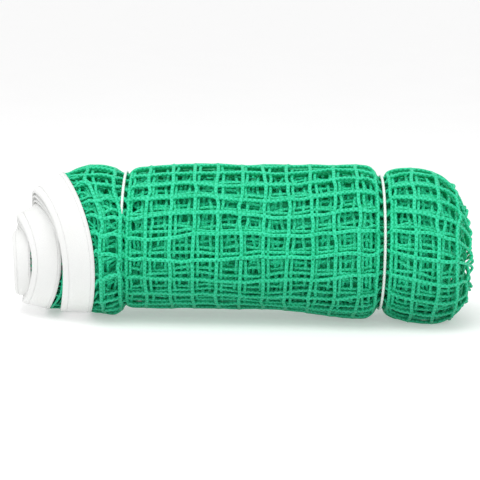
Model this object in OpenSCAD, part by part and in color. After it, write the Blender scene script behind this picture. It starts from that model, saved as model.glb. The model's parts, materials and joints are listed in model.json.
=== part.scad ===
// A rolled-up tennis net: the netting in three nested turns, its headband wound in a spiral at the
// left end, and two tie cords round the roll. X runs along the roll, Z is up, z = 0 is the floor.

/* [Roll] */
// Whole length of the bundle along X
roll_l = 822; // [780:2:860]
// Radius of the netting roll at its middle
roll_r = 130; // [126:1:132]
// Height of the roll's axis over the floor
axis_z = 135; // [134:0.5:136]
// Fullness of the roll beside the ties, over its middle radius
bulge = 8; // [6:0.5:9]
// Radius of the rounded edge at the folded right end
end_round = 62; // [50:1:70]

/* [Turns] */
// Outer radius of the netting's second turn
second_r = 84; // [80:1:85]
// Outer radius of the netting's innermost turns
core_r = 56; // [50:1:57]
// Clearance between neighbouring turns
turn_gap = 1; // [0.5:0.5:2]

/* [Headband] */
// Width of the folded headband tape
band_w = 56; // [54:1:58]
// Thickness of one layer of the tape
tape_t = 1.2; // [1:0.1:1.4]
// Clear height inside the folded tape
band_inside = 4.6; // [4.6:0.1:5]
// Diameter of the headline cable in the fold
cable_d = 4; // [3:0.5:4]
// Distance of the outer stitch row from the tape's open edge
seam_in = 7; // [5:1:9]
// Distance between the two stitch rows
seam_step = 38; // [32:1:40]
// Width of a stitch row's thread
thread_d = 1.2; // [1:0.1:1.5]

/* [Ties] */
// Diameter of the tie cords
cord_d = 5; // [4.5:0.5:5.5]
// Radius of each tie's ring, to the middle of the cord
tie_r = 118; // [117:0.5:119]
// Place of the left tie along X
left_tie_x = -211; // [-215:1:-205]
// Place of the right tie along X
right_tie_x = 242; // [236:1:246]
// Place of the left tie's knot, in degrees up from the middle of the roll's back
left_knot_turn = 28; // [10:1:60]
// Place of the right tie's knot, in degrees up from the middle of the roll's back
right_knot_turn = 12; // [0:1:60]
// Half of the length of a knot
knot_half = 9; // [8:0.5:10]
// Radius of a knot at its middle
knot_r = 6.5; // [6:0.5:7]

/* [Hidden] */
$fn = 96;
right_end = roll_l / 2;
band_h = band_inside + 2 * tape_t;
bore_r = second_r + turn_gap;
// Each inner turn's axis over the floor, and where all of them end inside the roll
second_z = 111;
core_bore_r = core_r + turn_gap;
core_z = 98;
inner_end = 299;
core_start = -364;
nose_start = -392;
nose_l = 30;
nose_r = 31;
nose_z = core_z - 9;
groove_r = tie_r - knot_r + 1;
groove_flat = 11;
groove_slope = 27;
// Where the roll is fullest, how far each fullness reaches, and the taper left of the first
left_taper_x = -262;
left_taper = 0.3;
left_reach = 26;
middle_bulge_x = 166;
right_bulge_x = 312;
bulge_reach = 46;
// The netting is drawn from here on; its left ends are then cut along the headband
roll_start = -330;
profile_step = 6;
dimple_r = 36;
dimple_deep = 14;
// Where each turn's netting starts at its front, back, top and bottom
outer_edges = [-248, -328, -314, -264];
second_edges = [-303, -347, -338, -336];
beyond = 700;
stitch_lift = 0.6;
cable_play = 0.3;
station = 15;
ring_step = 6;
// How far the ring's ends reach into the knot, and how far the knot stands out of the ring
ring_in_knot = 1.5;
knot_lift = 1.2;
cord_sides = 8;
seam_sides = 6;
netting_green = [0.05, 0.55, 0.36];
band_white = [0.93, 0.93, 0.9];

// The headband's route, a quarter turn a row, from the bottom up the front and inwards:
// [open edge x, its radius, its centre z, folded edge x, its radius, its centre z]
route = [
    [-270, 131, 133, -325, 118, 121],
    [-254, 132, 134, -310, 124, 127],
    [-319, 120, 132, -373, 103, 116],
    [-334, 113, 124, -388, 98, 112],
    [-341, 100, 105, -394, 88, 104],
    [-308, 97, 112, -365, 87, 105],
    [-346, 93, 111, -403, 77, 97],
    [-362, 82, 106, -405, 70, 96],
    [-370, 73, 99, -404, 60, 91],
    [-369, 70, 99, -401, 56, 92],
    [-374, 68, 98, -410, 52, 90],
    [-376, 60, 96, -410, 46, 90],
    [-378, 54, 94, -408, 42, 88]
];
route_end = 90 * (len(route) - 1);

// A tie's tail: degrees from the knot, distance to the left of the ring, radius
tail = [
    [3.6, -5.6, 119],
    [8, -6.5, 120],
    [13, -8, 121.5],
    [18, -9, 122.5],
    [24, -9.5, 123],
    [30, -9, 123]
];

// Smooth interpolation of the route: a cubic through the rows, at turn angle a
function row(i) = route[max(0, min(len(route) - 1, i))];
function cubic(p0, p1, p2, p3, t) =
    0.5 * (2 * p1 + (p2 - p0) * t + (2 * p0 - 5 * p1 + 4 * p2 - p3) * t * t
    + (3 * p1 - p0 - 3 * p2 + p3) * t * t * t);
function at_turn(a) =
    let (i = min(len(route) - 2, floor(a / 90)))
    cubic(row(i - 1), row(i), row(i + 1), row(i + 2), a / 90 - i);

// A point on the headband at turn angle a: across = 0 at its open edge, 1 at its fold; down is depth
function lerp(a, b, t) = a + (b - a) * t;
function band_point(a, across, down) =
    let (p = at_turn(a))
    let (x = lerp(p[0], p[3], across))
    let (r = lerp(p[1], p[4], across) - down)
    let (z = lerp(p[2], p[5], across))
    [x, -r * sin(a), z - r * cos(a)];

// Faces of a closed sweep of rings, each ring with `sides` points
function sweep_faces(rings, sides) = concat(
    [[for (j = [0 : sides - 1]) j]],
    [[for (j = [sides - 1 : -1 : 0]) (rings - 1) * sides + j]],
    [for (i = [0 : rings - 2]) for (j = [0 : sides - 1])
        [i * sides + j, (i + 1) * sides + j, (i + 1) * sides + (j + 1) % sides]],
    [for (i = [0 : rings - 2]) for (j = [0 : sides - 1])
        [i * sides + j, (i + 1) * sides + (j + 1) % sides, i * sides + (j + 1) % sides]]);

// A strip on the headband's route whose section is a list of [across, down] points
module band_strip(section) {
    turns = [0 : station : route_end];
    points = [for (a = turns) for (s = section) band_point(a, s[0], s[1])];
    polyhedron(points, sweep_faces(route_end / station + 1, len(section)), convexity = 10);
}

// Round section of a thread or cable within the headband, centred at [across, down]
function round_section(across, down, d, sides) =
    [for (j = [0 : sides - 1]) let (b = -360 * j / sides)
        [across + d / 2 * cos(b) / band_w, down + d / 2 * sin(b)]];

// Outer radius of the roll at x: full beside the ties, with a groove at each tie
function swell(x, middle, reach) = exp(-pow((x - middle) / reach, 2));
function groove(x, middle) =
    let (u = (abs(x - middle) - groove_flat) / groove_slope)
    u > 1 ? 0 : 0.5 * (1 + cos(180 * max(0, u)));
function roll_radius(x) =
    let (full = roll_r - left_taper * max(0, left_taper_x - x) + bulge * swell(x, left_taper_x, left_reach)
        + bulge * swell(x, middle_bulge_x, bulge_reach) + (bulge + 1) * swell(x, right_bulge_x, bulge_reach))
    full - (full - groove_r) * (groove(x, left_tie_x) + groove(x, right_tie_x));

// Half of the roll's section, as [radius, x]
function roll_outline() =
    let (stop = right_end - end_round)
    let (edge_r = roll_radius(stop) - end_round)
    concat([[0, roll_start]],
        [for (x = [roll_start : profile_step : stop]) [roll_radius(x), x]],
        [for (b = [0 : 10 : 90]) [edge_r + end_round * cos(b), stop + end_round * sin(b)]],
        [[dimple_r, right_end - 1], [0, right_end - dimple_deep]]);

// Turns a shape's own axis from Z to X and lifts it to height z
module along_x(z) {
    translate([0, 0, z]) rotate([0, 90, 0]) rotate([0, 0, 180]) children();
}

// Everything right of a plane that leans with the headband's open edge, through
// [front x, back x, top x, bottom x] at radius r about height z
module right_of(edges, r, z) {
    middle = (edges[2] + edges[3]) / 2;
    lean_z = atan((edges[3] - edges[2]) / (2 * r));
    lean_y = atan((edges[0] - edges[1]) / (2 * r));
    translate([middle, 0, z]) rotate([0, -lean_z, 0]) rotate([0, 0, lean_y])
        translate([0, -beyond, -beyond]) cube(2 * beyond);
}

// A rod along X from start to stop, at height z
module rod(start, stop, r, z) {
    translate([start, 0, z]) rotate([0, 90, 0]) cylinder(h = stop - start, r = r);
}

module netting_outer_turn() {
    color(netting_green) difference() {
        intersection() {
            along_x(axis_z) rotate_extrude() polygon(roll_outline());
            right_of(outer_edges, roll_r, axis_z);
            translate([-beyond, -beyond, 0]) cube(2 * beyond);
        }
        rod(-beyond, inner_end + turn_gap, bore_r, second_z);
    }
}

module netting_second_turn() {
    color(netting_green * 0.85) difference() {
        intersection() {
            rod(-beyond, inner_end, second_r, second_z);
            right_of(second_edges, second_r, second_z);
        }
        rod(-beyond, inner_end - turn_gap, core_bore_r, core_z);
    }
}

module netting_core() {
    color(netting_green * 0.7) union() {
        rod(core_start, inner_end - 2 * turn_gap, core_r, core_z);
        rod(nose_start, nose_start + nose_l, nose_r, nose_z);
    }
}

// The tape is folded over the net's top edge, so its section is a U that is open to the right
module headband_tape() {
    fold = 1 - tape_t / band_w;
    under = 2 / band_w;
    color(band_white) band_strip([[0, 0], [0, tape_t], [fold, tape_t], [fold, band_h - tape_t],
        [under, band_h - tape_t], [under, band_h], [1, band_h], [1, 0]]);
}

module headline_cable() {
    middle = 1 - (tape_t + cable_d / 2 + cable_play) / band_w;
    color("silver") band_strip(round_section(middle, band_h / 2, cable_d, cord_sides));
}

// A row of stitches on the tape, at a distance from its open edge
module stitch_row(inwards) {
    color("white") band_strip(
        round_section(inwards / band_w, -thread_d / 2 - stitch_lift, thread_d, seam_sides));
}

module headband_seam_outer() {
    stitch_row(seam_in);
}

module headband_seam_inner() {
    stitch_row(seam_in + seam_step);
}

// A point of a tie cord: turn is measured round the roll, up from the middle of its back
function tie_point(x, aside, turn, r) = [x + aside, r * cos(turn), axis_z + r * sin(turn)];

// A tube along points of a tie cord, all near a circle round the roll; way is -1 if they go down
module tie_tube(x, run, way) {
    points = [for (p = run) for (j = [0 : cord_sides - 1]) let (b = -way * 360 * j / cord_sides)
        tie_point(x, p[1] + cord_d / 2 * sin(b), p[0], p[2] + cord_d / 2 * cos(b))];
    polyhedron(points, sweep_faces(len(run), cord_sides), convexity = 10);
}

// One tie: its ring from knot to knot, and the two tails beside it
module tie(x, knot_turn) {
    inside = asin((knot_half - ring_in_knot) / tie_r);
    turns = (360 - 2 * inside) / ring_step;
    ring = [for (i = [0 : turns]) [knot_turn + inside + i * (360 - 2 * inside) / floor(turns), 0, tie_r]];
    color("white") {
        tie_tube(x, ring, 1);
        for (side = [-1, 1]) tie_tube(x, [for (p = tail)
            [knot_turn + side * p[0], p[1], p[2]]], side);
    }
}

module tie_knot(x, knot_turn) {
    half = [[0, -knot_half], [knot_r - 1, -knot_half], [knot_r, -knot_half / 2],
        [knot_r, knot_half / 2], [knot_r - 1, knot_half], [0, knot_half]];
    color("white") translate([x - cord_d / 2, 0, axis_z]) rotate([knot_turn, 0, 0])
        translate([0, tie_r + knot_lift, 0]) rotate_extrude() polygon(half);
}

module tie_left() {
    tie(left_tie_x, left_knot_turn);
}

module tie_left_knot() {
    tie_knot(left_tie_x, left_knot_turn);
}

module tie_right() {
    tie(right_tie_x, right_knot_turn);
}

module tie_right_knot() {
    tie_knot(right_tie_x, right_knot_turn);
}

netting_outer_turn();
netting_second_turn();
netting_core();
headband_tape();
headline_cable();
headband_seam_outer();
headband_seam_inner();
tie_left();
tie_left_knot();
tie_right();
tie_right_knot();
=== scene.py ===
"""A rolled tennis net: netting, headband and tie cords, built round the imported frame."""
import json
import math

import bpy
import numpy as np
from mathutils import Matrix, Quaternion, Vector


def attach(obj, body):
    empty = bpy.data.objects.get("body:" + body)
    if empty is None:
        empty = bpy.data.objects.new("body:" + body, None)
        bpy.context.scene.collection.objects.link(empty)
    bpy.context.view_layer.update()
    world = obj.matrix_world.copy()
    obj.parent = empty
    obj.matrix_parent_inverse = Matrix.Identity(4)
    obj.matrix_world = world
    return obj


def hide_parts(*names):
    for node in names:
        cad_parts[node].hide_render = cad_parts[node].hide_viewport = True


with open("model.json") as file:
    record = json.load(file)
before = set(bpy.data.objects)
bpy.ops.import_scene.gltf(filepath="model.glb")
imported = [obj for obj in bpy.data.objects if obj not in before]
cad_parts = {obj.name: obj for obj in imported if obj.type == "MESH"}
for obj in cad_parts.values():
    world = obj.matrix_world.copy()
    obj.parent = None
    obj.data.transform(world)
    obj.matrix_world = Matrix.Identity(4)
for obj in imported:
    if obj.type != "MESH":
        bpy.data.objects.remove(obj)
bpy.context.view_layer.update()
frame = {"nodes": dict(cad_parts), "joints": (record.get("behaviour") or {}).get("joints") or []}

MM = 0.001
TAU = 2 * math.pi
JOINTS = {j["name"]: j for j in frame["joints"]}
AXIS_Z = JOINTS["left_tie_turn"]["pos_m"][2]
TIE_X = {"left": JOINTS["left_tie_turn"]["pos_m"][0], "right": JOINTS["right_tie_turn"]["pos_m"][0]}
# How many degrees each knot lies above the back
KNOT_TURN = {"left": 28, "right": 12}
CORD_D = 5 * MM
TIE_R = 118 * MM


# ---------------------------------------------------------------- camera
def make_camera(distance=2.9, elevation=10.0, roll=0.95, lens=122.4):
    """Looks along +Y at the roll's axis from a little above, with the right side a little low."""
    target = Vector((-0.006, 0, AXIS_Z))
    tilt = math.radians(elevation)
    away = Vector((0, -math.cos(tilt), math.sin(tilt)))
    data = bpy.data.cameras.new("camera")
    data.lens, data.sensor_width = lens, 36.0
    camera = bpy.data.objects.new("camera", data)
    camera.location = target + away * distance
    camera.rotation_mode = "QUATERNION"
    level = (-away).to_track_quat("-Z", "Y")
    camera.rotation_quaternion = level @ Quaternion((0, 0, 1), math.radians(roll))
    bpy.context.scene.collection.objects.link(camera)
    bpy.context.scene.camera = camera


make_camera()


# ---------------------------------------------------------------- curves and meshes
def catmull_rom(a, b, c, d, t):
    """The smooth curve from b to c, at t from 0 to 1, between its neighbours a and d."""
    return 0.5 * (2 * b + (c - a) * t + (2 * a - 5 * b + 4 * c - d) * t * t
                  + (3 * b - a - 3 * c + d) * t ** 3)


def through(points, per_span):
    """A smooth open curve through points, with per_span samples for each span."""
    p = np.asarray(points, float)
    last = len(p) - 1
    t = np.linspace(0, 1, per_span, endpoint=False)[:, None]
    out = []
    for i in range(last):
        a, b, c, d = p[max(i - 1, 0)], p[i], p[i + 1], p[min(i + 2, last)]
        out.append(catmull_rom(a, b, c, d, t))
    out.append(p[-1:])
    return np.vstack(out)


def unit(v):
    """Vectors scaled to length 1."""
    return v / np.maximum(np.linalg.norm(v, axis=-1, keepdims=True), 1e-9)


class Builder:
    """Collects swept tubes into one mesh, with each point's place on its strand as an attribute."""

    def __init__(self):
        self.points, self.strand, self.quads, self.caps, self.count = [], [], [], [], 0

    def tube(self, path, up, radius, sides, closed=False, start=0.0):
        """A tube along path. up is any direction across it; radius may differ from point to point."""
        n = len(path)
        if closed:
            ahead = np.roll(path, -1, 0) - np.roll(path, 1, 0)
        else:
            ahead = np.gradient(path, axis=0)
        ahead = unit(ahead)
        side = unit(np.cross(ahead, up))
        out = np.cross(side, ahead)
        radius = np.broadcast_to(np.asarray(radius, float), (n,))
        turn = np.linspace(0, TAU, sides, endpoint=False)
        ring = (out[:, None] * np.cos(turn)[None, :, None] + side[:, None] * np.sin(turn)[None, :, None])
        points = path[:, None] + ring * radius[:, None, None]
        steps = np.linalg.norm(np.diff(path, axis=0), axis=1)
        along = start + np.concatenate([[0], np.cumsum(steps)])
        strand = np.stack([np.repeat(along, sides), np.tile(np.cos(turn), n), np.tile(np.sin(turn), n)], 1)
        rows = n if closed else n - 1
        i = np.arange(rows)[:, None]
        j = np.arange(sides)[None, :]
        nxt = (i + 1) % n
        quads = np.stack([i * sides + j, i * sides + (j + 1) % sides,
                          nxt * sides + (j + 1) % sides, nxt * sides + j], -1).reshape(-1, 4)
        base = self.count
        self.points.append(points.reshape(-1, 3))
        self.strand.append(strand)
        self.quads.append(quads + base)
        if not closed:
            self.caps.append([base + k for k in reversed(range(sides))])
            self.caps.append([base + (n - 1) * sides + k for k in range(sides)])
        self.count += n * sides

    def piece(self, name, material):
        quads = np.vstack(self.quads)
        return make_piece(name, np.vstack(self.points), quads, self.caps, material, np.vstack(self.strand))


def make_piece(name, points, quads, others, material, strand=None):
    """A mesh object from points, quads and a few bigger faces."""
    mesh = bpy.data.meshes.new(name)
    sizes = np.concatenate([np.full(len(quads), 4), [len(f) for f in others]]).astype(np.int32)
    loops = np.concatenate([np.asarray(quads, np.int32).ravel()] + [np.asarray(f, np.int32) for f in others])
    mesh.vertices.add(len(points))
    mesh.vertices.foreach_set("co", np.asarray(points, np.float32).ravel())
    mesh.loops.add(len(loops))
    mesh.loops.foreach_set("vertex_index", loops.astype(np.int32))
    mesh.polygons.add(len(sizes))
    starts = np.concatenate([[0], np.cumsum(sizes)[:-1]]).astype(np.int32)
    mesh.polygons.foreach_set("loop_start", starts)
    if strand is not None:
        layer = mesh.attributes.new("strand", "FLOAT_VECTOR", "POINT")
        layer.data.foreach_set("vector", np.asarray(strand, np.float32).ravel())
    mesh.update(calc_edges=True)
    mesh.validate()
    mesh.shade_smooth()
    mesh.materials.append(material)
    piece = bpy.data.objects.new(name, mesh)
    bpy.context.scene.collection.objects.link(piece)
    return piece


def loop_quads(rows, columns):
    """The faces between rows of points, each row a closed loop."""
    i = np.arange(rows - 1)[:, None] * columns
    j = np.arange(columns)[None, :]
    after = (j + 1) % columns
    return np.stack([i + j, i + after, i + columns + after, i + columns + j], -1).reshape(-1, 4)


# ---------------------------------------------------------------- materials
class Nodes:
    """A material's node tree, with short ways to add nodes."""

    def __init__(self, name):
        self.material = bpy.data.materials.new(name)
        self.material.use_nodes = True
        self.tree = self.material.node_tree
        self.shader = self.tree.nodes["Principled BSDF"]

    def add(self, kind, **values):
        node = self.tree.nodes.new(kind)
        for key, value in values.items():
            setattr(node, key, value)
        return node

    def link(self, out, socket):
        self.tree.links.new(out, socket)

    def feed(self, node, name, value):
        socket = node.inputs[name]
        if isinstance(value, bpy.types.NodeSocket):
            self.link(value, socket)
        else:
            socket.default_value = value

    def math(self, operation, a, b=0.0):
        node = self.add("ShaderNodeMath", operation=operation)
        self.feed(node, 0, a)
        self.feed(node, 1, b)
        return node.outputs[0]

    def noise(self, scale, detail=3.0, roughness=0.6):
        node = self.add("ShaderNodeTexNoise")
        for key, value in (("Scale", scale), ("Detail", detail), ("Roughness", roughness)):
            node.inputs[key].default_value = value
        self.link(self.place(), node.inputs["Vector"])
        return node.outputs["Fac"]

    def place(self):
        return self.add("ShaderNodeTexCoord").outputs["Object"]

    def ramp(self, value, stops):
        """Colours by value: stops are (position, colour)."""
        node = self.add("ShaderNodeValToRGB")
        band = node.color_ramp
        while len(band.elements) < len(stops):
            band.elements.new(0.5)
        for element, (position, colour) in zip(band.elements, stops):
            element.position, element.color = position, (*colour, 1)
        self.link(value, node.inputs["Fac"])
        return node.outputs["Color"]

    def mix(self, factor, a, b, blend="MIX"):
        node = self.add("ShaderNodeMix", data_type="RGBA", blend_type=blend)
        self.feed(node, 0, factor)
        for socket, value in ((node.inputs[6], a), (node.inputs[7], b)):
            if isinstance(value, bpy.types.NodeSocket):
                self.link(value, socket)
            else:
                socket.default_value = (*value, 1)
        return node.outputs[2]

    def bump(self, height, strength, distance):
        node = self.add("ShaderNodeBump")
        node.inputs["Strength"].default_value = strength
        node.inputs["Distance"].default_value = distance
        self.link(height, node.inputs["Height"])
        self.link(node.outputs["Normal"], self.shader.inputs["Normal"])

    def strand_weave(self, pitch, lobes):
        """The ridges of a braided cord, from 0 in its grooves to 1 on its ridges."""
        strand = self.add("ShaderNodeAttribute", attribute_name="strand").outputs["Vector"]
        split = self.add("ShaderNodeSeparateXYZ")
        self.link(strand, split.inputs[0])
        angle = self.math("ARCTAN2", split.outputs["Z"], split.outputs["Y"])
        along = self.math("MULTIPLY", split.outputs["X"], TAU / pitch)
        round_it = self.math("MULTIPLY", angle, float(lobes))
        right = self.math("SINE", self.math("ADD", along, round_it))
        left = self.math("SINE", self.math("SUBTRACT", along, round_it))
        both = self.math("ADD", self.math("MAXIMUM", right, left), 1.0)
        return self.math("MULTIPLY", both, 0.5)


# The twine is darker below this height, at rest: painted shade towards the floor
SHADE_BELOW = 120 * MM


def twine_material(name, dark, middle, light):
    """Braided polyethylene twine: loose ridges, fine fibres, lighter and darker patches, and a
    painted shade that darkens it towards the floor, where the roll lies."""
    n = Nodes(name)
    weave = n.strand_weave(8 * MM, 2)
    patches = n.noise(45.0, 4.0)
    flecks = n.noise(300.0, 2.0, 0.7)
    fibres = n.noise(900.0, 2.0, 0.7)
    tone = n.math("ADD", n.math("MULTIPLY", weave, 0.3), n.math("MULTIPLY", patches, 0.35))
    tone = n.math("ADD", tone, n.math("MULTIPLY", flecks, 0.5))
    tone = n.math("ADD", tone, n.math("MULTIPLY", n.math("SUBTRACT", fibres, 0.6), 0.4))
    colour = n.ramp(tone, [(0.3, dark), (0.5, middle), (0.72, light)])
    # Painted shade: the colour darkens towards the floor, most at the floor itself
    split = n.add("ShaderNodeSeparateXYZ")
    n.link(n.place(), split.inputs[0])
    above = n.math("DIVIDE", split.outputs["Z"], SHADE_BELOW)
    deeper = n.ramp(above, [(0.0, (0.5, 0.58, 0.58)), (0.3, (0.62, 0.74, 0.73)), (1.0, (1, 1, 1))])
    n.link(n.mix(1.0, colour, deeper, "MULTIPLY"), n.shader.inputs["Base Color"])
    rough = n.math("ADD", n.math("MULTIPLY", fibres, 0.3), 0.35)
    n.link(rough, n.shader.inputs["Roughness"])
    n.shader.inputs["Specular IOR Level"].default_value = 0.3
    height = n.math("ADD", n.math("MULTIPLY", weave, 0.7), n.math("MULTIPLY", flecks, 0.9))
    n.bump(height, 0.9, 1.3 * MM)
    return n.material


def folds_material():
    """Netting deep in the roll, where its layers lie close together, in greens lighter than the twine's:
    painted fill light.
    """
    n = Nodes("netting_folds")
    wave = n.add("ShaderNodeTexVoronoi", feature="DISTANCE_TO_EDGE")
    wave.inputs["Scale"].default_value = 90.0
    n.link(n.place(), wave.inputs["Vector"])
    fibres = n.noise(350.0, 3.0)
    tone = n.math("ADD", n.math("MULTIPLY", wave.outputs["Distance"], 1.4), n.math("MULTIPLY", fibres, 0.4))
    # Greens lighter than the twine's darks: painted fill light in the deep netting
    n.link(n.ramp(tone, [(0.1, (0.0, 0.44, 0.19)), (0.6, (0.002, 0.62, 0.29)), (1.0, (0.01, 0.74, 0.37))]),
           n.shader.inputs["Base Color"])
    n.shader.inputs["Roughness"].default_value = 0.75
    n.bump(tone, 1.0, 4 * MM)
    return n.material


def tape_material():
    """White canvas tape: a fine plain weave, a little grey with handling."""
    n = Nodes("headband_tape")
    place = n.place()
    weave = n.add("ShaderNodeTexWave", wave_type="BANDS", bands_direction="DIAGONAL")
    weave.inputs["Scale"].default_value = 320.0
    weave.inputs["Distortion"].default_value = 1.0
    n.link(place, weave.inputs["Vector"])
    threads = n.noise(900.0, 2.0)
    soil = n.noise(14.0, 4.0)
    cloth = n.math("ADD", n.math("MULTIPLY", weave.outputs["Fac"], 0.5), n.math("MULTIPLY", threads, 0.5))
    clean = n.ramp(cloth, [(0.15, (0.72, 0.73, 0.72)), (0.75, (0.90, 0.90, 0.89))])
    n.link(n.mix(n.ramp(soil, [(0.45, (0, 0, 0)), (0.8, (0.5, 0.5, 0.5))]), clean, (0.78, 0.79, 0.76)),
           n.shader.inputs["Base Color"])
    n.link(n.math("ADD", n.math("MULTIPLY", threads, 0.2), 0.7), n.shader.inputs["Roughness"])
    n.bump(cloth, 0.35, 0.4 * MM)
    return n.material


def cord_material(name, pitch, dark, light):
    """Braided cord or thread: ridges a pitch apart, with fine fibres."""
    n = Nodes(name)
    weave = n.strand_weave(pitch, 3)
    fibres = n.noise(900.0, 2.0)
    tone = n.math("ADD", n.math("MULTIPLY", weave, 0.7), n.math("MULTIPLY", fibres, 0.3))
    n.link(n.ramp(tone, [(0.1, dark), (0.7, light)]), n.shader.inputs["Base Color"])
    n.link(n.math("ADD", n.math("MULTIPLY", fibres, 0.25), 0.35), n.shader.inputs["Roughness"])
    n.bump(weave, 0.7, 0.7 * MM)
    return n.material


def cable_material():
    """Bare steel cable, a little dull."""
    n = Nodes("headline_cable")
    noise = n.noise(500.0, 2.0)
    colour = n.ramp(noise, [(0.3, (0.35, 0.36, 0.37)), (0.8, (0.62, 0.63, 0.64))])
    n.link(colour, n.shader.inputs["Base Color"])
    n.shader.inputs["Metallic"].default_value = 0.9
    n.link(n.math("ADD", n.math("MULTIPLY", noise, 0.3), 0.3), n.shader.inputs["Roughness"])
    n.bump(noise, 0.4, 0.3 * MM)
    return n.material


TWINE = twine_material("net_twine", (0.0, 0.37, 0.16), (0.002, 0.55, 0.25), (0.045, 0.76, 0.43))
# A lighter copy of the twine for the netting deep in the roll: painted fill light against its shade
TWINE_FILL_LIT = twine_material("net_twine_painted_fill", (0.0, 0.42, 0.18), (0.002, 0.60, 0.28), (0.03, 0.77, 0.43))
FOLDS = folds_material()
TAPE = tape_material()
TIE_CORD = cord_material("tie_cord", 9 * MM, (0.55, 0.68, 0.64), (0.92, 0.94, 0.93))
THREAD = cord_material("seam_thread", 5 * MM, (0.76, 0.76, 0.75), (0.92, 0.92, 0.91))
CABLE = cable_material()


# ---------------------------------------------------------------- the roll's shape
# Outline of the roll along X, in mm: x, radius over the outer twines, height of the middle
OUTLINE = np.array([
    (-345, 112, 118), (-318, 121, 129), (-297, 127, 133), (-262, 131, 134), (-240, 129, 134),
    (-226, 124, 134), (-219, 118, 135), (-215, 115.6, 135), (-211, 115, 135), (-207, 115.6, 135),
    (-203, 118, 135), (-194, 124, 137),
    (-165, 127, 139), (-125, 129, 141), (-68, 129.5, 142), (29, 129, 141), (99, 131, 139),
    (150, 135, 136), (179, 137, 135), (205, 137, 135), (222, 134, 135), (231, 126, 135),
    (235.5, 118.5, 135), (238.5, 115.6, 135), (242, 115, 135), (245.5, 115.6, 135),
    (248.5, 118.5, 135), (255, 128, 134), (275, 135.5, 132),
    (302, 138, 130), (328, 137.5, 127), (350, 132, 124), (368, 121, 120), (382, 106, 116),
    (391, 88, 111), (397, 66, 107), (399, 44, 104), (394, 26, 103), (379, 15, 103)], float) * MM
# The twine of the top layer, and of the layers under it
TWINE_D = 6.6 * MM
UNDER_D = 6.0 * MM
# Columns of mesh round the roll, and the turn angle of the first
COLUMNS = 22
COLUMN_DEG = 360 / COLUMNS
FIRST_DEG = 82.1
# How far the columns turn about the roll along its length: x in mm and degrees
TWIST = np.array([(-200, -1.5), (-6, 0), (50, -1), (187, 7.2), (300, 8)])
# The length of a strand from knot to knot
PITCH = 39.7 * MM
# Where the mesh's rows lie along X, in mm, up to the last before the folded end
ROW_X = np.array([-202, -167, -125, -86, -46, -4, 35, 75, 115, 155, 197, 231.5, 250, 291, 332]) * MM
END_ROWS = 4
# The netting left of the left tie is rows 0 to -3, and row -3 is sewn into the headband
BAND_ROW = 3.0
# How far each tie leans along X for each unit of height
LEAN = {"left": 0.018, "right": -0.006}
# The columns shift to and fro three times round the roll: how far in degrees, and a turn angle of most shift
SWAY_DEG = 2.8
SWAY_AT = 104
# The mesh's unevenness for a roughness of 1, along X, round the roll (in columns) and outwards.
# The slack netting left of the left tie has more of it.
UNEVEN_X = 2.2 * MM
UNEVEN_X_SLACK = 2.6 * MM
UNEVEN_TURN = 0.09
UNEVEN_TURN_SLACK = 0.08
UNEVEN_OUT = 1.1 * MM
# How far the slack netting stands out over the left tie at the front
PUFF = 14 * MM
ABOVE_FLOOR = 0.3 * MM


def outline_curve():
    """The outline sampled finely: arc length, x, radius, middle and the outward normal's x and radius."""
    line = through(OUTLINE, 12)
    arc = np.concatenate([[0], np.cumsum(np.linalg.norm(np.diff(line[:, :2], axis=0), axis=1))])
    ahead = unit(np.gradient(line[:, :2], axis=0))
    return np.column_stack([arc, line, -ahead[:, 1], ahead[:, 0]])


CURVE = outline_curve()
SPLIT = int(np.argmax(CURVE[:, 1]))  # up to here x only grows
ROW_ARC = np.interp(ROW_X, CURVE[:SPLIT, 1], CURVE[:SPLIT, 0])
ROW_ARC = np.concatenate([ROW_ARC, np.linspace(ROW_ARC[-1], CURVE[-1, 0], END_ROWS + 1)[1:]])
ROWS = len(ROW_ARC)


class Waves:
    """Smooth seeded unevenness over the roll, between about -1 and 1."""

    def __init__(self, seed, terms=7):
        rng = np.random.default_rng(seed)
        self.k = rng.uniform(0.25, 2.2, terms)
        self.m = rng.integers(1, 6, terms)
        self.p = rng.uniform(0, TAU, terms)
        self.a = rng.uniform(0.5, 1.0, terms)
        self.a /= self.a.sum() * 0.6

    def __call__(self, u, v):
        turn = TAU * v / COLUMNS
        return sum(a * np.sin(k * u + m * turn + p) for k, m, p, a in zip(self.k, self.m, self.p, self.a))


# The headband's route, a quarter turn a row, from the bottom up the front and inwards, in mm:
# open edge x, its radius, its middle's height, folded edge x, its radius, its middle's height
BAND_ROUTE = np.array([
    (-270, 131, 133, -325, 118, 121), (-254, 132, 134, -310, 124, 127),
    (-319, 120, 132, -373, 103, 116), (-334, 113, 124, -388, 98, 112),
    (-347, 100, 105, -394, 88, 104), (-312, 97, 112, -365, 87, 105),
    (-346, 93, 111, -403, 77, 97), (-362, 82, 106, -405, 70, 96),
    (-370, 73, 99, -404, 60, 91), (-369, 70, 99, -401, 56, 92),
    (-374, 68, 98, -410, 52, 90), (-376, 60, 96, -410, 46, 90),
    (-378, 54, 94, -408, 42, 88)], float) * MM
# The folded tape's width
BAND_MM = 56
BAND_W = BAND_MM * MM
BAND_END = 90.0 * (len(BAND_ROUTE) - 1)


def band_row(degrees):
    """The headband's route at a turn angle, within a few millimetres of the frame's tape."""
    last = len(BAND_ROUTE) - 1
    q = np.clip(np.asarray(degrees, float) / 90, 0, last)
    i = np.minimum(q.astype(int), last - 1)
    t = (q - i)[..., None]
    a, b, c, d = (BAND_ROUTE[np.clip(i + k, 0, last)] for k in (-1, 0, 1, 2))
    return catmull_rom(a, b, c, d, t)


def on_turn(x, r, middle, degrees):
    """A point at turn angle degrees: 0 at the bottom, 90 at the front, 180 on top."""
    a = np.radians(degrees)
    return np.stack([x, -r * np.sin(a), middle - r * np.cos(a)], -1)


# The netting isn't bunched where the band leaves it this much room, and is fully bunched at CRAMPED_BY less
ROOMY = 106 * MM
CRAMPED_BY = 42 * MM


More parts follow.
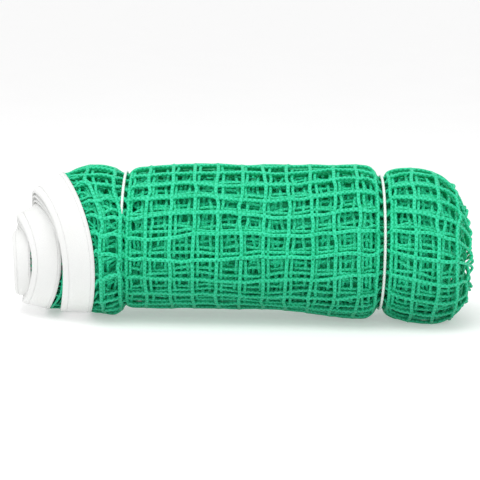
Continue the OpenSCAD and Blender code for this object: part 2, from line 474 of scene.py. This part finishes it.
def bunched(degrees):
    """How far the netting beside the left tie is bunched: 1 where the band is near, 0 where it is far off."""
    room = ROW_X[0] - band_row(np.mod(degrees, 360))[..., 0]
    return np.clip((ROOMY - room) / CRAMPED_BY, 0, 1)


def left_x(u, degrees):
    """X of row u < 0, between the left tie and the headband, where the mesh is bunched at the front."""
    edge = band_row(np.mod(degrees, 360))[..., 0]
    front = bunched(degrees)
    # where each row lies at the back, and how far it is pushed right at the front
    row_1 = (-230 + 18 * front) * MM
    row_2 = (-277 + 33 * front) * MM
    row_3 = edge - 3 * MM
    t = -u
    return np.where(t < 1, ROW_X[0] + (row_1 - ROW_X[0]) * t,
                    np.where(t < 2, row_1 + (row_2 - row_1) * (t - 1), row_2 + (row_3 - row_2) * (t - 2)))


def puff(u, degrees):
    """How far the slack netting between band and left tie stands out over the tie."""
    # centred low at the front, and gone 112 degrees from there; steeper on the tie's side of row -1
    low = np.clip((112 - np.abs(np.mod(degrees, 360) - 45)) / 40, 0, 1)
    near = np.where(u < -1, np.exp(-((u + 1.0) / 0.9) ** 2), np.exp(-((u + 1.0) / 0.45) ** 2))
    return PUFF * bunched(degrees) * low * near


def on_netting(u, v, depth, waves, rough):
    """Points of the netting at row u and column v, depth below the outer twines, with the
    outward direction and the direction along the roll at each."""
    u, v = np.broadcast_arrays(np.asarray(u, float), np.asarray(v, float))
    wx, wt, wr = (w(u, v) + 0.45 * w(2.3 * u + 5, 2 * v) for w in waves)
    middle_arc = np.interp(u, np.arange(ROWS), ROW_ARC)
    x_here = np.interp(middle_arc, CURVE[:, 0], CURVE[:, 1])
    # less uneven near the right tie's groove, and slack from row -1 on to the left
    calm = np.clip(np.abs(x_here - TIE_X["right"]) / (30 * MM), 0.15, 1)
    loose = np.clip(-u, 0, 1)
    degrees = FIRST_DEG + COLUMN_DEG * (v + rough * (UNEVEN_TURN + UNEVEN_TURN_SLACK * loose) * wt)
    degrees = degrees + np.interp(x_here, TWIST[:, 0] * MM, TWIST[:, 1])
    degrees = degrees + SWAY_DEG * np.cos(np.radians(3 * (degrees - SWAY_AT)))
    arc = middle_arc + rough * UNEVEN_X * wx * calm
    x_left = left_x(np.minimum(u, 0), degrees) + rough * UNEVEN_X_SLACK * wx * loose
    arc_left = np.interp(x_left, CURVE[:SPLIT, 1], CURVE[:SPLIT, 0])
    blend = np.clip(u / 0.5, 0, 1)
    arc = np.where(u < 0, arc_left, middle_arc + (arc - middle_arc) * blend)
    x, r, middle, nx, nr = (np.interp(arc, CURVE[:, 0], CURVE[:, k]) for k in range(1, 6))
    # from row -2 to row -3 the netting closes up to the headband
    sewn = np.clip(-u - 2, 0, 1) ** 1.5
    edge = band_row(np.mod(degrees, 360))
    r = r + (edge[..., 1] - 0.3 * MM - r) * sewn
    middle = middle + (edge[..., 2] - middle) * sewn
    depth = depth * (1 - 0.85 * sewn)
    # even in the left tie's groove, and the layers below the top one lie deeper at the folded end
    near_tie = np.exp(-((x - TIE_X["left"]) / (9 * MM)) ** 2)
    rise = rough * UNEVEN_OUT * wr * calm * (1 - near_tie) * (1 - sewn)
    rise = rise + puff(u, degrees) - TWINE_D / 2 - depth
    rise = rise - np.where(depth > 0, 6 * MM, 0) * np.clip((u - (ROWS - 5)) / 2, 0, 1)
    x, r = x + nx * rise, np.maximum(r + nr * rise, 5 * MM)
    point = on_turn(x, r, middle, degrees)
    floor = TWINE_D / 2 + ABOVE_FLOOR + 0.6 * depth
    point[..., 2] = np.maximum(point[..., 2], floor)
    # the netting leans with the tie beside it
    for side, tie_x in TIE_X.items():
        point[..., 0] += LEAN[side] * (point[..., 2] - AXIS_Z) * np.exp(-((x - tie_x) / (45 * MM)) ** 2)
    return point, unit(on_turn(nx, nr, 0, degrees)), unit(on_turn(nr, -nx, 0, degrees))


def outward(points):
    """Directions away from the roll's middle line, for the strands' frames."""
    away = points - np.array([0, 0, AXIS_Z])
    away[:, 0] = 0
    return unit(away)


def knot_swell(t, size):
    """Thicker where a strand crosses another, at whole values of t."""
    near = np.abs(t - np.round(t))
    return 1 + size * np.exp(-(near / 0.09) ** 2)


def spare(chord):
    """How far a strand between two knots bows out over a chord."""
    return 2 / math.pi * np.sqrt(np.clip(chord * (PITCH - chord), 0, None))


def thinner(u):
    """A strand's share of its full width: it is pressed between the tape's lips at row -3, and drawn
    thin at the folded end."""
    return (1 - 0.42 * np.clip((-u - 2.5) / 0.4, 0, 1)) * (1 - 0.25 * np.clip((u - (ROWS - 4.5)) / 1.5, 0, 1))


def netting_layer(name, seed, depth, shift, twine_d, sides, samples, material, rough, last_row):
    """One layer of mesh over the roll: a strand along X in each column and one round it in each row.

    depth is below the outer twines, and shift is its offset from the top layer in rows and columns.
    sides and samples (for each cell) set how finely a strand is drawn. rough is its unevenness.
    """
    waves = [Waves(seed + k) for k in range(3)]
    rng = np.random.default_rng(seed + 77)
    first_row = -BAND_ROW
    b = Builder()
    du, dv = shift
    # strands along the roll
    for column in range(COLUMNS):
        v = column + dv
        u = np.arange(first_row, last_row, 1 / samples)
        path, out, ahead = on_netting(u, v + 0 * u, depth, waves, rough)
        cell = np.floor(u - du)
        phase = (u - du) - cell
        knots = [np.clip(cell + k + du, first_row, last_row) for k in (0, 1)]
        ends = [on_netting(knot, v + 0 * u, depth, waves, rough)[0] for knot in knots]
        chord = np.linalg.norm(ends[1] - ends[0], axis=-1)
        slack = np.where((cell < 0) & (cell > first_row), 1.0, 0.45)
        slack = np.where(cell >= ROWS - 3, 0.3, slack)
        lean = rng.uniform(-1, 1, ROWS + 8)[(cell + 5).astype(int).clip(0, ROWS + 7)]
        lean = np.where(cell < 0, 0.8 + 0.2 * lean, lean)
        bow = slack * spare(chord) * np.sin(math.pi * phase) ** 2
        path = path + np.cross(out, ahead) * (bow * lean)[:, None] + out * (bow * 0.12)[:, None]
        path[:, 2] = np.maximum(path[:, 2], twine_d / 2 + ABOVE_FLOOR)
        b.tube(path, out, twine_d / 2 * knot_swell(u - du, 0.22) * thinner(u), sides, start=rng.uniform(0, 1))
    # strands round the roll
    for row in range(math.ceil(first_row - du + 0.3), math.ceil(last_row - du)):
        u0 = row + du
        v = np.arange(0, COLUMNS, 1 / samples)
        path, out, ahead = on_netting(u0 + 0 * v, v, depth, waves, rough)
        cell = np.floor(v - dv)
        phase = (v - dv) - cell
        ends = [on_netting(u0 + 0 * v, cell + k + dv, depth, waves, rough)[0] for k in (0, 1)]
        chord = np.linalg.norm(ends[1] - ends[0], axis=-1)
        folded = np.clip((u0 - (ROWS - 6)) / 2, 0, 1)
        flip = rng.uniform(-1, 1, COLUMNS + 1)[cell.astype(int) % COLUMNS]
        bow = spare(chord) * np.sin(math.pi * phase) ** (2 - 0.8 * folded)
        path = path + ahead * (bow * flip * (0.3 + 0.25 * folded))[:, None]
        path = path + out * (bow * 0.55 * folded * np.abs(flip) ** 0.5)[:, None]
        path[:, 2] = np.maximum(path[:, 2], twine_d / 2 + ABOVE_FLOOR)
        b.tube(path, out, twine_d / 2 * knot_swell(v - dv, 0.22) * thinner(u0), sides, closed=True,
               start=rng.uniform(0, 1))
    piece = b.piece(name, material)
    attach(piece, "roll")
    return piece


LAYERS = [
    netting_layer("netting_top_layer", 11, 0.0, (0.0, 0.0), TWINE_D, 8, 12, TWINE, 1.5, ROWS - 1.0),
    netting_layer("netting_layer_2", 23, 5.0 * MM, (0.2, 0.2), UNDER_D, 6, 8, TWINE, 1.5, ROWS - 1.6),
    netting_layer("netting_layer_3", 37, 9.5 * MM, (-0.22, 0.42), UNDER_D, 6, 8, TWINE, 1.8, ROWS - 1.8),
    # Layers 4 and 5 take the lighter twine: painted fill light
    netting_layer("netting_layer_4", 53, 14 * MM, (0.4, -0.21), UNDER_D, 6, 8, TWINE_FILL_LIT, 2.0, ROWS - 2.0),
    netting_layer("netting_layer_5", 71, 18 * MM, (-0.42, -0.4), UNDER_D, 6, 8, TWINE_FILL_LIT, 2.4, ROWS - 2.2),
]
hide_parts("netting_outer_turn")


# How deep the body of folds lies below the outer twines
FOLDS_DEPTH = 22 * MM


def make_folds():
    """The close-packed netting under the drawn layers, as one closed uneven body."""
    waves = [Waves(91 + k) for k in range(3)]
    u = np.arange(-2.9, ROWS - 2.2, 0.25)
    v = np.arange(0, COLUMNS, 0.25)
    points = on_netting(u[:, None] + 0 * v, v + 0 * u[:, None], FOLDS_DEPTH, waves, 2.0)[0]
    rows, columns = points.shape[:2]
    quads = loop_quads(rows, columns)[:, ::-1]
    flat = points.reshape(-1, 3)
    caps = [list(range(columns)), [(rows - 1) * columns + k for k in reversed(range(columns))]]
    piece = make_piece("netting_folds", flat, quads, caps, FOLDS)
    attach(piece, "roll")


make_folds()


# ---------------------------------------------------------------- tie cords
# A reef knot's first strand: distance along the ring, distance aside and height, in mm, from
# where its tail ends round its bight to where it joins the ring
KNOT_STRAND = [
    (-16, -3, -1.4), (-6, -3.2, -2.4), (0, -5.6, 2.4), (5.5, -6.8, 0), (9, -4, -2.6), (10, 0, -2.8),
    (9, 4, -2.6), (5.5, 6.8, 0), (0, 5.6, 2.4), (-6, 3.2, -2.4), (-16, 3, -1.4)]
# A tail: degrees from the knot, distance aside of the ring and radius, in mm
TAIL = [(30, -8, 127), (24, -8, 127), (18, -7.5, 126), (13, -6.5, 124)]
KNOT_ASIDE, KNOT_HEIGHT = -2.6, 3.4


def tie_route(knot_turn):
    """The cord's route as (turn in degrees, distance aside, radius) from tail to tail."""
    per_mm = math.degrees(1 / (TIE_R / MM))
    ring_r = TIE_R / MM
    first = [(s * per_mm, x + KNOT_ASIDE, ring_r + KNOT_HEIGHT + h) for s, x, h in KNOT_STRAND]
    # the second strand is the first one turned end for end and upside down
    second = [(-s * per_mm, x + KNOT_ASIDE, ring_r + KNOT_HEIGHT - h) for s, x, h in reversed(KNOT_STRAND)]
    tail = [(-t, x, r) for t, x, r in TAIL]
    ring = [(-t, 0.0, ring_r) for t in range(16, 346, 8)]
    back = [(t - 360, x, r) for t, x, r in second]
    end = [(t - 360, x, r) for t, x, r in reversed(TAIL)]
    return [(knot_turn + t, x, r) for t, x, r in tail + first + ring + back + end]


def make_tie(side):
    """One tie: a cord round the roll in its groove, with a reef knot and two tails at the back."""
    x = TIE_X[side]
    turns = np.array(tie_route(KNOT_TURN[side]))
    a = np.radians(turns[:, 0])
    r = turns[:, 2] * MM
    route = np.stack([x + turns[:, 1] * MM, r * np.cos(a), AXIS_Z + r * np.sin(a)], 1)
    route[:, 0] += LEAN[side] * (route[:, 2] - AXIS_Z)
    path = through(route, 6)
    up = path - np.array([x, 0, AXIS_Z])
    up[:, 0] = 0
    b = Builder()
    b.tube(path, unit(up), CORD_D / 2, 12)
    piece = b.piece(f"tie_cord_{side}", TIE_CORD)
    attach(piece, f"{side}_tie")
    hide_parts(f"tie_{side}", f"tie_{side}_knot")


for tie_side in ("left", "right"):
    make_tie(tie_side)


# ---------------------------------------------------------------- headband
# The folded tape's height over both layers and its cloth's thickness, then the same for the further layers
BAND_H = 7.0 * MM
BAND_CLOTH = 1.2 * MM
PLY_H = 3.4 * MM
PLY_CLOTH = 1.0 * MM
# The further layers: share of the way to the next turn's radius, and how far each sits back, in mm
PLIES = [(0.24, 0.5), (0.42, 2.0), (0.60, 1.0), (0.78, 3.5)]
# The lower lip of a folded tape ends this share of its width short of the upper one
SHORT_LIP = 0.03
# The stitches: from one to the next, the length of one, and the thread's radius
STITCH_STEP = 5.5 * MM
STITCH = 0.78 * STITCH_STEP
THREAD_R = 0.55 * MM
TAPE_WAVES = Waves(5)


def band_points(degrees, across, down, waves, recess=0.0, inward=0.0):
    """Points of the headband: across from the open edge to the fold, and down below its outer face.

    recess moves them along X, and inward is the share of the way to the next turn's radius.
    """
    row = band_row(degrees)
    deeper = band_row(np.minimum(degrees + 360, BAND_END))
    x = row[..., 0] + (row[..., 3] - row[..., 0]) * across + recess
    r = row[..., 1] + (row[..., 4] - row[..., 1]) * across
    m = row[..., 2] + (row[..., 5] - row[..., 2]) * across
    r_in = deeper[..., 1] + (deeper[..., 4] - deeper[..., 1]) * across
    m_in = deeper[..., 2] + (deeper[..., 5] - deeper[..., 2]) * across
    r = r + (r_in - r) * inward - down
    m = m + (m_in - m) * inward
    loose = 1 - 0.7 * across
    r = r + 0.9 * MM * loose * waves(across * 2.0, degrees / COLUMN_DEG)
    x = x + 1.2 * MM * loose * waves(7.0, degrees / COLUMN_DEG)
    point = on_turn(x, r, m, degrees)
    point[..., 2] = np.maximum(point[..., 2], 0.6 * MM)
    return point


def tape_section(height, thickness, flat_steps=9, fold_steps=5):
    """The folded tape's outline as (across, down): a U that is open at across = 0."""
    half = height / 2
    inner_half = half - thickness
    bend = 1 - half / BAND_W
    turn = np.linspace(-90, 90, fold_steps)
    top = [(a, 0.0) for a in np.linspace(0, bend, flat_steps)]
    outer = [(bend + half / BAND_W * math.cos(math.radians(t)),
              half + half * math.sin(math.radians(t))) for t in turn[1:-1]]
    under = [(a, height) for a in np.linspace(bend, SHORT_LIP, flat_steps)]
    under_in = [(a, height - thickness) for a in np.linspace(SHORT_LIP, bend, flat_steps)]
    inner = [(bend + inner_half / BAND_W * math.cos(math.radians(t)),
              half + inner_half * math.sin(math.radians(t))) for t in turn[::-1][1:-1]]
    top_in = [(a, thickness) for a in np.linspace(bend, 0, flat_steps)]
    return np.array(top + outer + under + under_in + inner + top_in)


def make_tape():
    """The outer layer of the headband, one folded tape along the whole spiral."""
    degrees = np.arange(0, BAND_END + 0.1, 3.0)
    section = tape_section(BAND_H, BAND_CLOTH)
    points = band_points(degrees[:, None] + 0 * section[:, 0], section[:, 0] + 0 * degrees[:, None],
                         section[:, 1] + 0 * degrees[:, None], waves=TAPE_WAVES)
    rows, columns = points.shape[:2]
    quads = loop_quads(rows, columns)
    caps = [list(reversed(range(columns))), [(rows - 1) * columns + k for k in range(columns)]]
    piece = make_piece("headband", points.reshape(-1, 3), quads, caps, TAPE)
    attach(piece, "roll")
    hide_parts("headband_tape")


make_tape()


def make_stitches(row_name, across):
    """A row of stitches that lie on the tape, each one dipping into it at its ends."""
    b = Builder()
    down = np.array([0.35, -0.25, -0.35, -0.25, 0.35]) * MM
    turn = 1.0
    while turn < BAND_END - 3:
        radius = band_row(turn)[1]
        span = math.degrees(STITCH / radius)
        degrees = turn + span * np.linspace(0, 1, len(down))
        path = band_points(degrees, np.full(len(down), across), down, waves=TAPE_WAVES)
        b.tube(path, outward(path), THREAD_R, 5)
        turn += math.degrees(STITCH_STEP / radius)
    piece = b.piece(f"headband_stitches_{row_name}", THREAD)
    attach(piece, "roll")
    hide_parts(f"headband_seam_{row_name}")


# 7 mm and 45 mm from the open edge
make_stitches("outer", 7 / BAND_MM)
make_stitches("inner", 45 / BAND_MM)


def make_plies():
    """The headband's further layers, which lie under the outer one in each turn."""
    degrees = np.arange(0, 780.1, 5.0)
    section = tape_section(PLY_H, PLY_CLOTH, 4, 4)
    section[:, 0] = 0.1 + 0.9 * section[:, 0]
    for k, (inward, back) in enumerate(PLIES):
        points = band_points(degrees[:, None] + 0 * section[:, 0], section[:, 0] + 0 * degrees[:, None],
                             section[:, 1] + 0 * degrees[:, None], recess=back * MM, inward=inward,
                             waves=Waves(60 + k))
        rows, columns = points.shape[:2]
        quads = loop_quads(rows, columns)
        caps = [list(reversed(range(columns))), [(rows - 1) * columns + c for c in range(columns)]]
        piece = make_piece(f"headband_layer_{k + 2}", points.reshape(-1, 3), quads, caps, TAPE)
        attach(piece, "roll")


make_plies()


# Points along each short strand of the inner netting
INNER_STEPS = 14


def inner_netting():
    """The second and third turns' netting, which shows between the headband's turns."""
    b = Builder()
    rng = np.random.default_rng(8)
    for layer in range(2):
        depth = (3.6 + 5.5 * layer) * MM
        # strands round the roll, beside the band's open edge
        turn = np.arange(330, BAND_END, 2.5)
        for k, back in enumerate(np.array([7, 20, 38, 56]) * MM):
            row = band_row(turn)
            sway = 2.0 * MM * np.sin(turn / 9 + layer * 2 + k * 1.3) + rng.uniform(-2, 2) * MM
            x = row[:, 0] + back + sway + layer * 7 * MM
            path = on_turn(x, row[:, 1] - depth, row[:, 2], turn)
            b.tube(path, outward(path), 2.6 * MM, 6)
        # strands along the roll, out from under the band
        for angle in np.arange(332 + 9 * layer, BAND_END, 19.0):
            row = band_row(np.full(INNER_STEPS, angle))
            x = row[:, 0] + np.linspace(-3, 78, INNER_STEPS) * MM
            lean = np.linspace(0, 9, INNER_STEPS) * (1 if layer else -1)
            path = on_turn(x, row[:, 1] - depth, row[:, 2], angle + lean)
            b.tube(path, outward(path), np.linspace(1.9, 2.8, INNER_STEPS) * MM, 6)
    # The lighter twine: painted fill light for the netting between the band's turns
    piece = b.piece("netting_inner_turns", TWINE_FILL_LIT)
    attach(piece, "roll")
    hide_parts("netting_second_turn", "netting_core")


inner_netting()

for slot in frame["nodes"]["headline_cable"].material_slots:
    slot.material = CABLE


# ---------------------------------------------------------------- floor, light and view
# The floor's own glow and the sky's strength keep the background near white
FLOOR_SIZE = 60
FLOOR_GLOW = 0.36
SKY = 0.82


def make_stage():
    """A pale floor and an even white surrounding light."""
    n = Nodes("floor")
    grain = n.noise(3.0, 2.0)
    colour = n.ramp(grain, [(0.0, (0.68, 0.68, 0.68)), (1.0, (0.72, 0.72, 0.72))])
    n.link(colour, n.shader.inputs["Base Color"])
    n.shader.inputs["Roughness"].default_value = 0.9
    n.shader.inputs["Emission Color"].default_value = (1, 1, 1, 1)
    n.shader.inputs["Emission Strength"].default_value = FLOOR_GLOW
    bpy.ops.mesh.primitive_plane_add(size=FLOOR_SIZE, location=(0, 0, -0.0005))
    floor = bpy.context.object
    floor.name = "floor"
    floor.data.materials.append(n.material)
    world = bpy.data.worlds.new("world")
    world.use_nodes = True
    world.node_tree.nodes["Background"].inputs["Color"].default_value = (1, 1, 1, 1)
    world.node_tree.nodes["Background"].inputs["Strength"].default_value = SKY
    bpy.context.scene.world = world


def add_light(name, place, size, power, target=(0, 0, 0.12)):
    """A square light of a given size that faces target."""
    data = bpy.data.lights.new(name, "AREA")
    data.size, data.energy = size, power
    light = bpy.data.objects.new(name, data)
    light.location = place
    light.rotation_mode = "QUATERNION"
    light.rotation_quaternion = (Vector(target) - Vector(place)).to_track_quat("-Z", "Y")
    bpy.context.scene.collection.objects.link(light)


make_stage()
add_light("key", (-0.4, -0.9, 2.8), 1.6, 40)
bpy.context.scene.view_settings.view_transform = "Standard"
